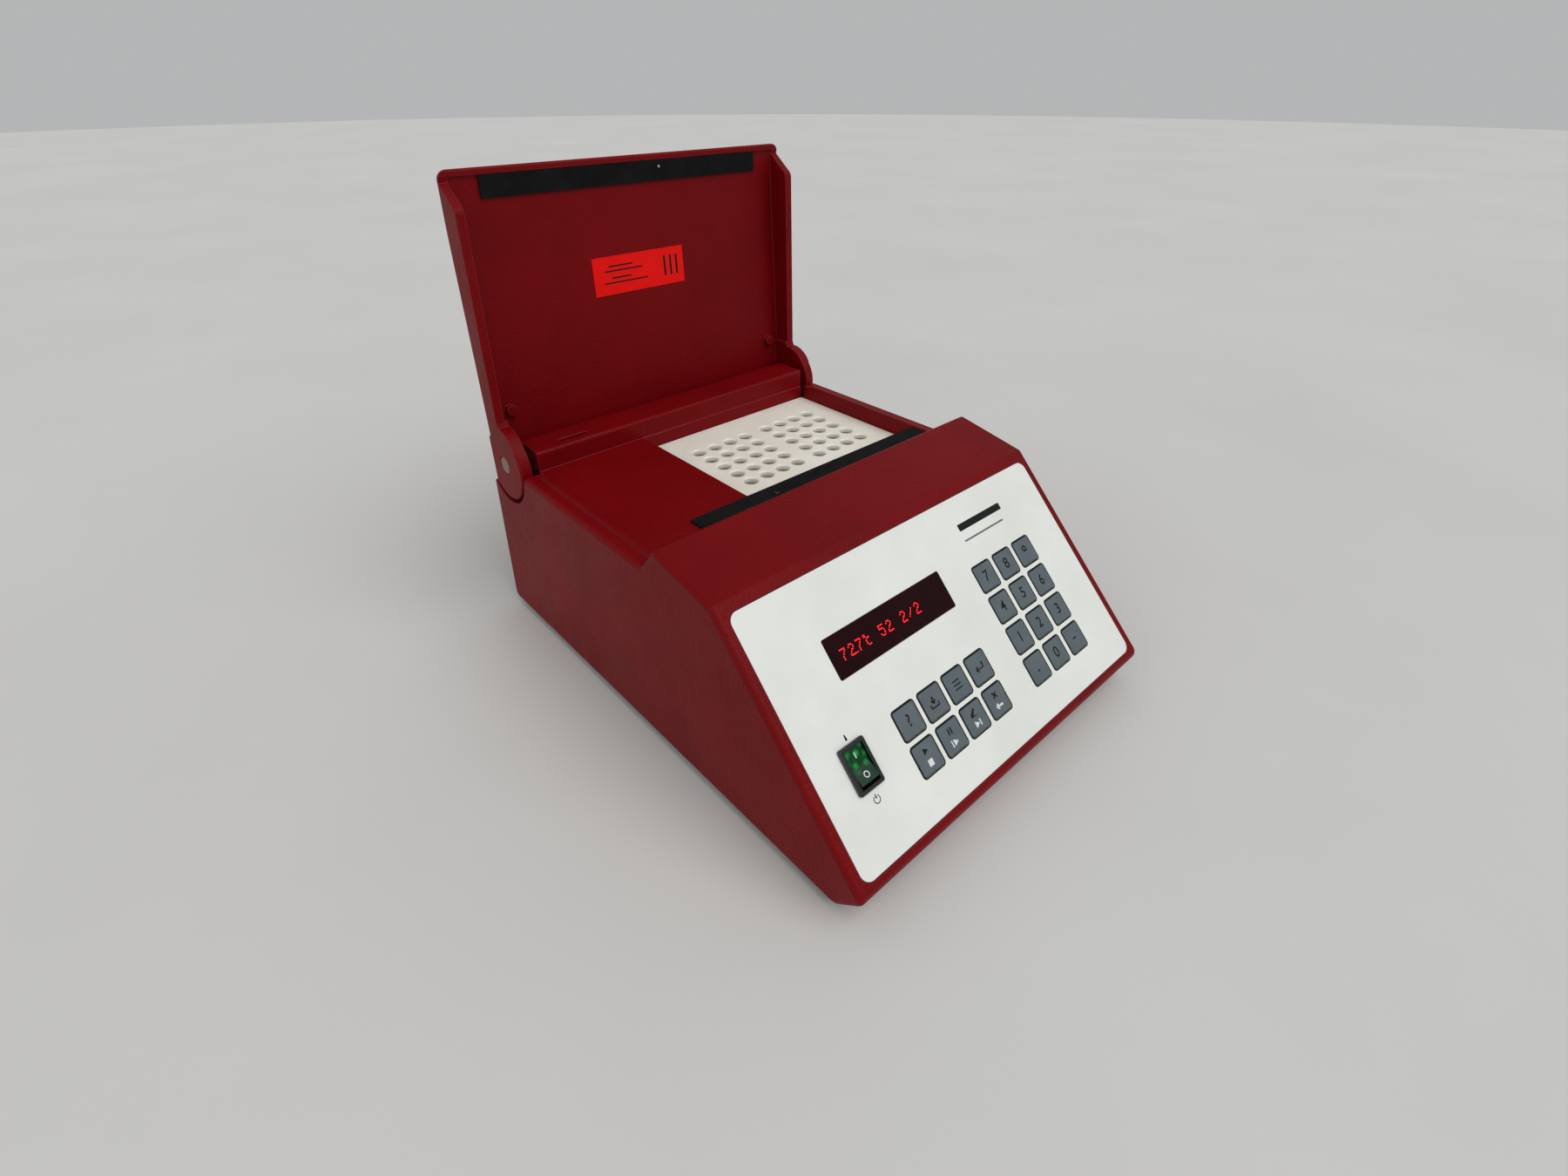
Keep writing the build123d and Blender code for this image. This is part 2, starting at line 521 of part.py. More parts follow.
def make_collar():
    """Foam insulation around the block."""
    ring = block(BLK[0] - 9, BLK[1] + 9, BLK[2] - 12, BLK[3] + 12, BLOCK_BOT, BLOCK_TOP - 4)
    ring = ring - block(BLK[0] - 0.4, BLK[1] + 0.4, BLK[2] - 0.4, BLK[3] + 0.4, 0, 120)
    y = (BLK[2] + BLK[3]) / 2 + WELL_PITCH / 2
    return ring - rod_x(BLK[0] - 12, BLK[0] + 2, y, BLOCK_BOT + 3, 1.7)


PEL_TOP = BLOCK_BOT
PEL_BOT = PEL_TOP - PELTIER_T
PELTIERS = [(BLK[0] + (BLK[1] - BLK[0]) * f, (BLK[2] + BLK[3]) / 2 + s * 17.5) for f in (0.2, 0.5, 0.8)
            for s in (-1, 1)]
SINK_TOP = PEL_BOT
SINK_BOT = SINK_TOP - SINK_BASE_T
SINK_X0, SINK_X1 = BLK[0] - 9, BLK[1] + 9
SINK_Y0, SINK_Y1 = BLK[2] - 20, BLK[3] + 12


def make_heat_sink():
    """Finned aluminium heat sink, fins running to the fan."""
    sink = block(SINK_X0, SINK_X1, SINK_Y0, SINK_Y1, SINK_BOT, SINK_TOP)
    step = (SINK_X1 - SINK_X0 - FIN_T) / (FIN_COUNT - 1)
    for i in range(FIN_COUNT):
        x = SINK_X0 + i * step
        sink = sink + block(x, x + FIN_T, SINK_Y0, SINK_Y1, SINK_BOT - FIN_H, SINK_BOT + 0.5)
    for x, y in SINK_POSTS:
        sink = sink - rod_z(x, y, SINK_BOT - 1, SINK_TOP + 1, 2.0)
        sink = sink - rod_z(x, y, SINK_BOT - FIN_H - 1, SINK_BOT, 4.6)
    return sink


SINK_POSTS = [(SINK_X0 + 6, SINK_Y0 + 6), (SINK_X1 - 6, SINK_Y0 + 6), (SINK_X0 + 6, SINK_Y1 - 5),
              (SINK_X1 - 6, SINK_Y1 - 5)]


def make_sink_post(x, y):
    """Pillar between base plate and heat sink."""
    return rod_z(x, y, BASE_Z0 + BASE_T, SINK_BOT, 4.0)


FAN_Y0 = DEPTH - WALL - FAN_DEPTH


def make_fan_frame():
    """Square fan frame against the rear wall."""
    half = FAN_SIZE / 2
    frame = block(FAN_X - half, FAN_X + half, FAN_Y0, FAN_Y0 + FAN_DEPTH, FAN_Z - half, FAN_Z + half)
    frame = fillet(frame.edges().filter_by(Axis.Y), 5)
    frame = frame - rod_y(FAN_X, FAN_Y0 - 1, FAN_Y0 + FAN_DEPTH + 1, FAN_Z, FAN_BORE_R)
    for dx, dz in FAN_HOLES:
        frame = frame - rod_y(FAN_X + dx, FAN_Y0 - 1, DEPTH, FAN_Z + dz, 2.2)
    hub = rod_y(FAN_X, FAN_Y0 + FAN_DEPTH - 4, FAN_Y0 + FAN_DEPTH, FAN_Z, 17)
    spokes = []
    for k in range(4):
        arm = Pos(25, 0, 0) * Box(19, 3, 3)
        spokes.append(Pos(FAN_X, FAN_Y0 + FAN_DEPTH - 1.5, FAN_Z) * Rot(0, 45 + 90 * k, 0) * arm)
    for s in spokes:
        frame = frame + s
    axle = rod_y(FAN_X, FAN_Y0 + 6, FAN_Y0 + FAN_DEPTH - 3, FAN_Z, 1.5)
    return frame + hub + axle


def make_impeller():
    """Seven-blade fan wheel."""
    wheel = rod_y(FAN_X, FAN_Y0 + 1.5, FAN_Y0 + FAN_DEPTH - 4.6, FAN_Z, 16)
    wheel = wheel - rod_y(FAN_X, FAN_Y0 + 5, FAN_Y0 + FAN_DEPTH, FAN_Z, 1.56)
    for k in range(7):
        blade = Pos(23.5, 0, 0) * Rot(35, 0, 0) * Box(18, 2, 17)
        wheel = wheel + Pos(FAN_X, FAN_Y0 + 11, FAN_Z) * Rot(0, 360 / 7 * k, 0) * blade
    keep = rod_y(FAN_X, FAN_Y0 + 1, FAN_Y0 + FAN_DEPTH - 4.6, FAN_Z, FAN_BORE_R - 1.2)
    return wheel & keep


def make_fan_screw(dx, dz):
    """Screw through the rear wall and the fan frame."""
    x, z = FAN_X + dx, FAN_Z + dz
    shank = rod_y(x, FAN_Y0 + 2, DEPTH, z, 2.0)
    head = rod_y(x, DEPTH, DEPTH + 2.2, z, 3.8)
    head = head - block(x - 2.4, x + 2.4, DEPTH + 1.2, DEPTH + 3, z - 0.45, z + 0.45)
    return shank + head - block(x - 0.45, x + 0.45, DEPTH + 1.2, DEPTH + 3, z - 2.4, z + 2.4)


# ---- electronics --------------------------------------------------------------------
TR_X, TR_Y, TR_R, TR_H = -70.0, 222.0, 38.0, 44.0
BOARD_X0, BOARD_X1, BOARD_Y0, BOARD_Y1, BOARD_Z = -95.0, 93.0, 72.0, 148.0, 16.0
STANDOFFS = [(x, y) for x in (BOARD_X0 + 8, BOARD_X1 - 8) for y in (BOARD_Y0 + 8, BOARD_Y1 - 8)]


def make_transformer():
    """Wound toroid on the base plate."""
    z0 = BASE_Z0 + BASE_T + 2
    ring = rod_z(TR_X, TR_Y, z0, z0 + TR_H, TR_R)
    ring = fillet(ring.edges(), 7)
    return ring - rod_z(TR_X, TR_Y, 0, 90, 11)


def make_transformer_clamp():
    """Clamping washer, bolt and lower pad of the toroid."""
    z0 = BASE_Z0 + BASE_T
    bolt = rod_z(TR_X, TR_Y, z0, z0 + TR_H + 10, 3)
    washer = rod_z(TR_X, TR_Y, z0 + TR_H + 2, z0 + TR_H + 4, 22)
    nut = Pos(TR_X, TR_Y, z0 + TR_H + 4) * extrude(RegularPolygon(5.5, 6), 4.5)
    return bolt + washer + nut


def make_transformer_pad():
    """Rubber pad below the toroid."""
    z0 = BASE_Z0 + BASE_T
    return rod_z(TR_X, TR_Y, z0, z0 + 2, 34) - rod_z(TR_X, TR_Y, 0, 20, 3.2)


def make_board():
    """Control board on stand-offs."""
    board = block(BOARD_X0, BOARD_X1, BOARD_Y0, BOARD_Y1, BOARD_Z, BOARD_Z + BOARD_T)
    for x, y in STANDOFFS:
        board = board - rod_z(x, y, 0, 40, 1.7)
    return board


def make_chips():
    """Packages, capacitors and connectors on the control board."""
    z = BOARD_Z + BOARD_T
    chips = [block(x, x + 37, y, y + 14, z, z + 4.2) for x, y in ((-80, 84), (-34, 84), (-34, 108), (14, 84))]
    chips += [block(x, x + 20, y, y + 7.5, z, z + 3.8) for x in (-80, -56) for y in (106, 122)]
    chips += [rod_z(x, y, z, z + 26, 8) for x, y in ((62, 88), (62, 110), (62, 132))]
    chips += [block(14, 50, 126, 133, z, z + 9), block(-28, 4, 134, 141, z, z + 9)]
    return chips


def make_standoff(x, y):
    """Hexagonal stand-off with its screw."""
    post = Pos(x, y, BASE_Z0 + BASE_T) * extrude(RegularPolygon(3.2, 6), BOARD_Z - BASE_Z0 - BASE_T)
    return post + rod_z(x, y, BOARD_Z, BOARD_Z + BOARD_T, 1.5) + rod_z(x, y, BOARD_Z + BOARD_T, BOARD_Z + BOARD_T + 1.8, 2.8)


def make_inlet():
    """Appliance inlet with three blades in a recess."""
    body = block(INLET_X - 13.7, INLET_X + 13.7, DEPTH - 24, DEPTH, INLET_Z - 9.9, INLET_Z + 9.9)
    flange = block(INLET_X - 25, INLET_X + 25, DEPTH, DEPTH + 3, INLET_Z - 11.5, INLET_Z + 11.5)
    flange = fillet(flange.edges().filter_by(Axis.Y), 5)
    body = body + flange
    throat = block(INLET_X - 12, INLET_X + 12, DEPTH - 14, DEPTH + 4, INLET_Z - 7.8, INLET_Z + 7.8)
    throat = chamfer(throat.edges().filter_by(Axis.Y).group_by(Axis.Z)[-1], 5)
    body = body - throat
    for dx in (-20, 20):
        body = body - rod_y(INLET_X + dx, DEPTH - 1, DEPTH + 4, INLET_Z, 1.7)
    for dx, dz in INLET_BLADES:
        x, z = INLET_X + dx, INLET_Z + dz
        body = body - block(x - 1.02, x + 1.02, DEPTH - 30, DEPTH - 10, z - 2.02, z + 2.02)
    return body


INLET_BLADES = [(-7, -1.8), (0, 2.2), (7, -1.8)]


def make_inlet_blades():
    """Three nickel-plated blades."""
    return [block(INLET_X + dx - 1, INLET_X + dx + 1, DEPTH - 32, DEPTH - 2, INLET_Z + dz - 2, INLET_Z + dz + 2)
            for dx, dz in INLET_BLADES]


def make_rear_screw(x, z, face):
    """Short screw in the rear wall."""
    shank = rod_y(x, DEPTH - WALL, face, z, 1.5)
    head = rod_y(x, face, face + 1.8, z, 3.0)
    head = head - block(x - 1.8, x + 1.8, face + 0.9, face + 3, z - 0.35, z + 0.35)
    return shank + head


def make_data_socket():
    """Nine-way D-shaped data socket."""
    shell = block(DATA_X - 8.7, DATA_X + 8.7, DEPTH - 10, DEPTH + 5.5, DATA_Z - 4.7, DATA_Z + 4.7)
    shell = chamfer(shell.edges().filter_by(Axis.Y).group_by(Axis.Z)[0], 1.6)
    flange = block(DATA_X - 15.4, DATA_X + 15.4, DEPTH, DEPTH + 0.8, DATA_Z - 6.2, DATA_Z + 6.2)
    for dx in (-12.5, 12.5):
        flange = flange - rod_y(DATA_X + dx, DEPTH - 1, DEPTH + 4, DATA_Z, 1.6)
    for i in range(5):
        shell = shell - rod_y(DATA_X + (i - 2) * 2.77, DEPTH - 1, DEPTH + 6, DATA_Z + 1.42, 0.6)
    for i in range(4):
        shell = shell - rod_y(DATA_X + (i - 1.5) * 2.77, DEPTH - 1, DEPTH + 6, DATA_Z - 1.42, 0.6)
    return shell + flange


# ---- build and save ---------------------------------------------------------------------
def main():
    os.makedirs("parts", exist_ok=True)
    save("case_shell", make_case())
    save("base_plate", make_base())
    save("rubber_feet", *[make_foot(x, y) for x, y in FEET])
    save("base_screws", *[pan_screw(x, y, BASE_Z0, 16) for x, y in BASE_SCREWS])
    save("lid_shell", make_lid())
    save("lid_strip", make_lid_strip())
    save("lid_label", make_label())
    save("hinge_pins", make_pin(1), make_pin(-1))
    save("deck_strip", block(-72, LIP_IN - 0.4, SCOOP_Y + 2.4, REC_Y0 - 1.0, DECK_Z, DECK_Z + SEAL_T))
    save("panel_overlay", make_overlay())
    save("panel_plate", make_panel_plate())
    save("display_window", make_display_window())
    save("display_cells", *make_display_cells())
    save("display_board", slab(DISP_U, DISP_V, PLATE_BOT - 2.4 - BOARD_T, PLATE_BOT - 2.4, DISP_W + 2, DISP_H + 2))
    save("key_mats", *keypad_area(MAT_TOP - MAT_T, MAT_TOP, 1.0))
    boards = keypad_area(MAT_TOP - MAT_T - BOARD_T, MAT_TOP - MAT_T, 2.5)
    save("keypad_boards", *boards)
    for (u, v), n in zip(NUM_KEYS, NUM_NAMES):
        save("key_" + n, make_key(u, v))
    for (u, v), n in zip(FUN_KEYS, FUN_NAMES):
        save("key_" + n, make_key(u, v))
    save("switch_housing", make_switch())
    save("power_rocker", make_rocker())
    save("switch_axle", make_switch_axle())
    save("switch_terminals", *make_terminals())
    save("block_cover", make_cover())
    save("sample_block", make_block())
    save("block_collar", make_collar())
    save("peltier_modules", *[block(x - 15, x + 15, y - 15, y + 15, PEL_BOT, PEL_TOP) for x, y in PELTIERS])
    y = (BLK[2] + BLK[3]) / 2 + WELL_PITCH / 2
    save("block_sensor", rod_x(BLK[0] - 20, BLK[0] + 29, y, BLOCK_BOT + 3, 1.5))
    save("heat_sink", make_heat_sink())
    save("sink_posts", *[make_sink_post(x, y) for x, y in SINK_POSTS])
    save("fan_frame", make_fan_frame())
    save("fan_impeller", make_impeller())
    save("fan_screws", *[make_fan_screw(dx, dz) for dx, dz in FAN_HOLES])
    save("transformer", make_transformer())
    save("transformer_clamp", make_transformer_clamp())
    save("transformer_pad", make_transformer_pad())
    save("control_board", make_board())
    save("board_parts", *make_chips())
    save("board_standoffs", *[make_standoff(x, y) for x, y in STANDOFFS])
    save("mains_inlet", make_inlet())
    save("inlet_blades", *make_inlet_blades())
    save("rear_screws", *[make_rear_screw(INLET_X + dx, INLET_Z, DEPTH + 3) for dx in (-20, 20)],
         *[make_rear_screw(DATA_X + dx, DATA_Z, DEPTH + 0.8) for dx in (-12.5, 12.5)])
    save("data_socket", make_data_socket())


main()
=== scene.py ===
import math

import bmesh
import bpy
from mathutils import Matrix, Vector


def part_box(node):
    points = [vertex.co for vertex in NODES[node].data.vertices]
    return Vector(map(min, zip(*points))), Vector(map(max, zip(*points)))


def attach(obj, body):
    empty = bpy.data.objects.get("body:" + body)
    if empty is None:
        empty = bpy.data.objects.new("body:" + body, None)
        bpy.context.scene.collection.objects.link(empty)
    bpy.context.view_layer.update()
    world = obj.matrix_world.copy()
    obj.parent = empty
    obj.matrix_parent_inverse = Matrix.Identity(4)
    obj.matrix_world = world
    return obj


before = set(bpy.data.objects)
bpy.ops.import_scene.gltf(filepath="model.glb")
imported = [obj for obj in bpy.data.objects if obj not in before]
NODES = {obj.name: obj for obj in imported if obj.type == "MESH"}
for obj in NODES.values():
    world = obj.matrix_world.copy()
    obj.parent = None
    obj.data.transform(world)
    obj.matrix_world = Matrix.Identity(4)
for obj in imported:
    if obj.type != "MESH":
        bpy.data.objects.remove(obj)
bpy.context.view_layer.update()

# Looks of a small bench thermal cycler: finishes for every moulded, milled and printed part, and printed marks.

MM = 0.001

# ---- front panel directions: u across, v up the slope, w out of the panel ------------
PANEL_SLOPE = math.radians(45.55)
ACROSS = Vector((1, 0, 0))
UP_SLOPE = Vector((0, math.cos(PANEL_SLOPE), math.sin(PANEL_SLOPE)))
OUTWARD = Vector((0, -math.sin(PANEL_SLOPE), math.cos(PANEL_SLOPE)))
SHEET_MIDDLE = -0.65     # w of the middle of the printed sheet, frame face at w = 0
SHEET_FACE = -0.30       # w of the printed face
KEY_FACE = -0.05         # w of the key tops
WINDOW_FACE = -0.30
INK = 0.02               # thickness that print stands proud
sheet_low, sheet_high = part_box("panel_overlay")
PANEL_MIDDLE = (Vector(sheet_low) + Vector(sheet_high)) / 2 - OUTWARD * SHEET_MIDDLE * MM


def panel_spot(u, v, w, lean=0.0):
    """Matrix from millimetres on a flat print to its place on the panel; lean tips it about the u axis."""
    spot = PANEL_MIDDLE + (ACROSS * u + UP_SLOPE * v + OUTWARD * w) * MM
    axes = Matrix((ACROSS, UP_SLOPE, OUTWARD)).transposed().to_4x4()
    return Matrix.Translation(spot) @ axes @ Matrix.Rotation(lean, 4, "X") @ Matrix.Scale(MM, 4)


def node_middle(node):
    low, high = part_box(node)
    return (Vector(low) + Vector(high)) / 2


def on_panel(node):
    """Place of a node's middle across and up the panel, in mm."""
    away = (node_middle(node) - PANEL_MIDDLE) / MM
    return away.dot(ACROSS), away.dot(UP_SLOPE)


# ---- nodes of a finish ------------------------------------------------------------------
def linear(code):
    """sRGB hex to the linear colour a shader works in."""
    parts = [int(code[i:i + 2], 16) / 255 for i in (0, 2, 4)]
    return (*[c / 12.92 if c <= 0.04045 else ((c + 0.055) / 1.055) ** 2.4 for c in parts], 1.0)


def add(tree, kind, inputs=None, **settings):
    """One node with its settings, fixed values and links."""
    node = tree.nodes.new("ShaderNode" + kind)
    for key, value in settings.items():
        setattr(node, key, value)
    for socket, value in (inputs or {}).items():
        if isinstance(value, bpy.types.NodeSocket):
            tree.links.new(value, node.inputs[socket])
        else:
            node.inputs[socket].default_value = value
    return node


MIX_A, MIX_B, MIX_OUT = 6, 7, 2      # colour sockets of a Mix node


def finish(name, light, dark, rough, drift=25.0, grain=0.8, depth=0.02, spread=0.08, metallic=0.0,
           stretch=(1, 1, 1), dimples=None, soft_edge=0.0, rub_and_highlight=None, dust_and_sheen_specks=None, glow=None, **shader):
    """A finish: two tones drifting over `drift` mm, relief `grain` mm across and `depth` mm deep, gloss that
    wanders by `spread`. dimples=(size, depth) in mm adds pebbles, soft_edge rounds corners to that many mm,
    worn=(hex, share) lightens corners, partly as rubbed paint and partly as a painted edge highlight,
    specks=(hex, spacing mm, share) scatters flecks: dusty ones on the foam, a painted pinkish sheen on the lacquer,
    glow=(hex, strength) lights it from inside."""
    material = bpy.data.materials.new(name)
    material.use_nodes = True
    tree = material.node_tree
    tree.nodes.clear()
    place = add(tree, "TexCoord").outputs["Object"]
    drawn = add(tree, "Mapping", {"Vector": place, "Scale": stretch}).outputs[0]
    cloud = add(tree, "TexNoise", {"Vector": drawn, "Scale": 1 / (drift * MM), "Detail": 4.0, "Roughness": 0.62})
    relief = add(tree, "TexNoise", {"Vector": drawn, "Scale": 1 / (grain * MM), "Detail": 2.0})
    smear = add(tree, "TexNoise", {"Vector": place, "Scale": 1 / (drift * 0.6 * MM), "Detail": 5.0, "Roughness": 0.7})
    patch = add(tree, "MapRange", {"Value": cloud.outputs[0], "From Min": 0.3, "From Max": 0.7})
    tone = add(tree, "Mix", {0: patch.outputs[0], MIX_A: linear(light), MIX_B: linear(dark)}, data_type="RGBA")
    colour = tone.outputs[MIX_OUT]
    gloss = add(tree, "MapRange", {"Value": smear.outputs[0], "From Min": 0.25, "From Max": 0.75,
                                   "To Min": max(0.02, rough - spread), "To Max": min(1.0, rough + spread)})
    bump = {"Height": relief.outputs[0], "Distance": depth * MM, "Strength": 1.0}
    if soft_edge:
        rounded = add(tree, "Bevel", {"Radius": soft_edge * MM}, samples=6)
        bump["Normal"] = rounded.outputs[0]
    # Paler corners: partly rubbed paint, partly a painted edge highlight.
    if rub_and_highlight:
        true_face = add(tree, "NewGeometry").outputs["Normal"]
        turn = add(tree, "VectorMath", {0: rounded.outputs[0], 1: true_face}, operation="DOT_PRODUCT")
        rub_and_highlight_share = add(tree, "MapRange", {"Value": turn.outputs["Value"], "From Min": 0.985, "From Max": 0.80,
                                     "To Max": rub_and_highlight[1]})
        patchy = add(tree, "Math", {0: rub_and_highlight_share.outputs[0], 1: smear.outputs[0]}, operation="MULTIPLY")
        colour = add(tree, "Mix", {0: patchy.outputs[0], MIX_A: colour, MIX_B: linear(rub_and_highlight[0])},
                     data_type="RGBA").outputs[MIX_OUT]
    # Flecks: dusty ones on the foam; on the lacquer they are painted pinkish sheen on the stipple.
    if dust_and_sheen_specks:
        speck_cells = add(tree, "TexVoronoi", {"Vector": place, "Scale": 1 / (dust_and_sheen_specks[1] * MM), "Randomness": 1.0})
        speck = add(tree, "MapRange", {"Value": speck_cells.outputs["Distance"], "From Min": 0.10, "From Max": 0.04,
                                       "To Max": dust_and_sheen_specks[2]})
        thin = add(tree, "MapRange", {"Value": smear.outputs[0], "From Min": 0.52, "From Max": 0.62})
        speck_mask = add(tree, "Math", {0: speck.outputs[0], 1: thin.outputs[0]}, operation="MULTIPLY")
        colour = add(tree, "Mix", {0: speck_mask.outputs[0], MIX_A: colour, MIX_B: linear(dust_and_sheen_specks[0])},
                     data_type="RGBA").outputs[MIX_OUT]
    if dimples:
        pebble = add(tree, "TexVoronoi", {"Vector": place, "Scale": 1 / (dimples[0] * MM), "Smoothness": 0.6},
                     feature="SMOOTH_F1")
        low_bump = add(tree, "Bump", {"Height": pebble.outputs["Distance"], "Distance": dimples[1] * MM, **{
            k: v for k, v in bump.items() if k == "Normal"}}, invert=True)
        bump["Normal"] = low_bump.outputs[0]
    inputs = {"Base Color": colour, "Roughness": gloss.outputs[0], "Metallic": metallic,
              "Normal": add(tree, "Bump", bump).outputs[0], **shader}
    if glow:
        inputs["Emission Color"] = linear(glow[0])
        inputs["Emission Strength"] = glow[1]
    skin = add(tree, "BsdfPrincipled", inputs)
    add(tree, "OutputMaterial", {"Surface": skin.outputs[0]})
    return material


# ---- finishes, one for each material slot in model.glb ----------------------------------------
# Structure lacquer sprayed on a moulded polyurethane housing: pebbles of about 0.6 mm catch a pinkish sheen;
# drawn at 1.3 mm, coarser than real, so that they show. Pale pink flecks add painted sheen on the pebbles.
# Corners are painted paler: partly rubbed paint, partly a painted edge highlight.
crimson = finish("structure_lacquer_crimson", "76040A", "680307", 0.44, drift=60, grain=0.9, depth=0.03,
                 spread=0.07, dimples=(1.3, 0.19), soft_edge=0.9, rub_and_highlight=("A8424C", 1.0),
                 dust_and_sheen_specks=("A05058", 2.2, 0.3), **{"Specular IOR Level": 0.1})
# Powder-coated steel sheet: satin black with a low orange peel.
black_sheet = finish("powder_coated_steel", "1E1E20", "151517", 0.5, drift=40, grain=1.5, depth=0.03, soft_edge=0.5)
# Moulded rubber: matt, faintly dusty, with a fine spark-eroded grain.
rubber = finish("moulded_rubber", "1D1C1B", "121212", 0.82, drift=9, grain=0.5, depth=0.02, soft_edge=0.5)
# Zinc-plated steel screws: bright with a faint yellow-blue drift.
zinc = finish("zinc_plated_steel", "B9BABD", "A3A29B", 0.32, drift=4, grain=0.3, depth=0.004, metallic=1.0)
# Turned steel pin with an end face dulled by handling: concentric tool lines are below what shows, so a fine grain.
pin = finish("turned_steel", "9A8179", "7A5F58", 0.42, drift=5, grain=0.35, depth=0.01, metallic=0.75, soft_edge=0.4)
# Closed-cell foam rubber cut to strips: matt black, pores of 0.5 mm drawn at 0.8 mm, with caught dust.
foam = finish("closed_cell_foam", "141415", "0B0B0C", 0.9, drift=14, grain=0.8, depth=0.06, soft_edge=0.4,
              dust_and_sheen_specks=("6A6664", 3.0, 0.5), **{"Specular IOR Level": 0.15})
# Fluorescent vinyl label: an even red that looks lit from within; a faint painted glow stands in for its
# fluorescence.
vinyl = finish("fluorescent_vinyl", "DC0604", "CC0503", 0.4, drift=20, grain=0.8, depth=0.006,
               glow=("FF1004", 0.12), **{"Specular IOR Level": 0.15})
# Screen-printed matt polyester film over the panel: a soft even white with a fine sand grain, 0.4 mm drawn at 0.8.
film = finish("matt_polyester_film", "E6E8E2", "DDE0D9", 0.5, drift=45, grain=0.8, depth=0.006, spread=0.06,
              soft_edge=0.25, **{"Specular IOR Level": 0.4})
# Brushed aluminium sheet: fine lines drawn out across the width, with a satin gloss.
brushed = finish("brushed_aluminium", "C9CACC", "B2B3B6", 0.36, drift=6, grain=0.5, depth=0.006, metallic=1.0,
                 stretch=(0.08, 1, 1))
# Tinted cast acrylic: nearly black, with a faint painted red glow standing in for light that gets in, and a polished
# face.
acrylic = finish("tinted_acrylic", "1A0308", "100204", 0.12, drift=30, grain=6, depth=0.003, spread=0.04,
                 soft_edge=0.3, glow=("5A0308", 0.05), **{"Specular IOR Level": 0.12})
# Red epoxy cast over light-emitting dice: dark red and glossy.
epoxy_red = finish("red_epoxy", "4A0608", "360305", 0.2, drift=3, grain=0.6, depth=0.004)
# Solder mask over copper tracks: green with a slight waviness.
solder_mask = finish("solder_mask", "14502A", "0E3E20", 0.34, drift=5, grain=1.2, depth=0.01)
# Moulded silicone: milky and matt.
silicone = finish("moulded_silicone", "A9A9A5", "9A9A96", 0.7, drift=12, grain=0.6, depth=0.01)
# Injection-moulded nylon, polished tool: deep gloss black bezel.
nylon = finish("polished_nylon", "0E0E10", "08080A", 0.16, drift=12, grain=1.6, depth=0.004, spread=0.06,
               soft_edge=0.45, **{"Coat Weight": 0.3, "Coat Roughness": 0.08})
# Stamped brass strip: warm yellow and fairly bright.
brass = finish("stamped_brass", "C9A24E", "B08A3C", 0.3, drift=3, grain=0.4, depth=0.005, metallic=1.0)
# Moulded and milled polymer plate: warm white, slightly waxy, with a fine machining grain.
cover_white = finish("milled_white_polymer", "F1EEE2", "E8E4D6", 0.42, drift=22, grain=0.7, depth=0.012,
                     soft_edge=0.35, **{"Subsurface Weight": 0.12, "Subsurface Radius": (0.003, 0.002, 0.0015),
                                        "Subsurface Scale": 1.0})
# Clear-anodised aluminium block: a milky oxide skin that scatters light down the bores.
milled = finish("clear_anodised_aluminium", "CFCFCB", "BABAB5", 0.6, drift=7, grain=0.6, depth=0.008, metallic=0.4)
# Closed-cell insulating foam, cut: dull grey.
collar = finish("grey_insulating_foam", "4A4A4A", "3C3C3C", 0.92, drift=8, grain=0.8, depth=0.06)
# Fired alumina faces of the thermoelectric modules: matt off-white.
alumina = finish("fired_alumina", "E8E6DF", "DAD8D0", 0.6, drift=8, grain=0.4, depth=0.006)
# Extruded aluminium fins, lines along the extrusion.
extruded = finish("extruded_aluminium", "A8AAAD", "94969A", 0.4, drift=6, grain=0.6, depth=0.01, metallic=1.0,
                  stretch=(1, 0.08, 1))
# Moulded grey nylon posts: satin.
grey_moulded = finish("moulded_grey_nylon", "77787A", "69696B", 0.55, drift=10, grain=0.7, depth=0.01)
# Glass-filled polyester fan parts: dark with a slightly fibrous face.
fan_moulded = finish("glass_filled_polyester", "1B1B1C", "111112", 0.48, drift=8, grain=0.6, depth=0.015,
                     stretch=(1, 1, 0.3))
# Enamelled copper wire wound in layers: a fine uneven relief, 0.8 mm across, drawn out round the winding.
winding = finish("enamelled_copper_winding", "8E4A22", "6A3214", 0.34, drift=5, grain=0.8, depth=0.12, metallic=0.6,
                 stretch=(0.05, 0.05, 1))
# Moulded epoxy chip bodies: dull near-black.
chip = finish("moulded_epoxy", "1A1A1C", "121214", 0.55, drift=4, grain=0.4, depth=0.008)
# Polyamide mains inlet moulded in a matt tool: satin black.
inlet_black = finish("moulded_polyamide", "19191B", "101012", 0.52, drift=9, grain=0.6, depth=0.012, soft_edge=0.4)
# Nickel-plated brass contacts: bright with a faint warm tone.
nickel = finish("nickel_plated_brass", "C4C0B6", "AFAAA0", 0.25, drift=3, grain=0.4, depth=0.004, metallic=1.0)
# Moulded key caps: blue-grey, satin, with a fine moulded grain of 0.4 mm drawn at 0.7.
key_plastic = finish("moulded_key_plastic", "566267", "4C585D", 0.5, drift=9, grain=0.7, depth=0.012,
                     soft_edge=0.35)


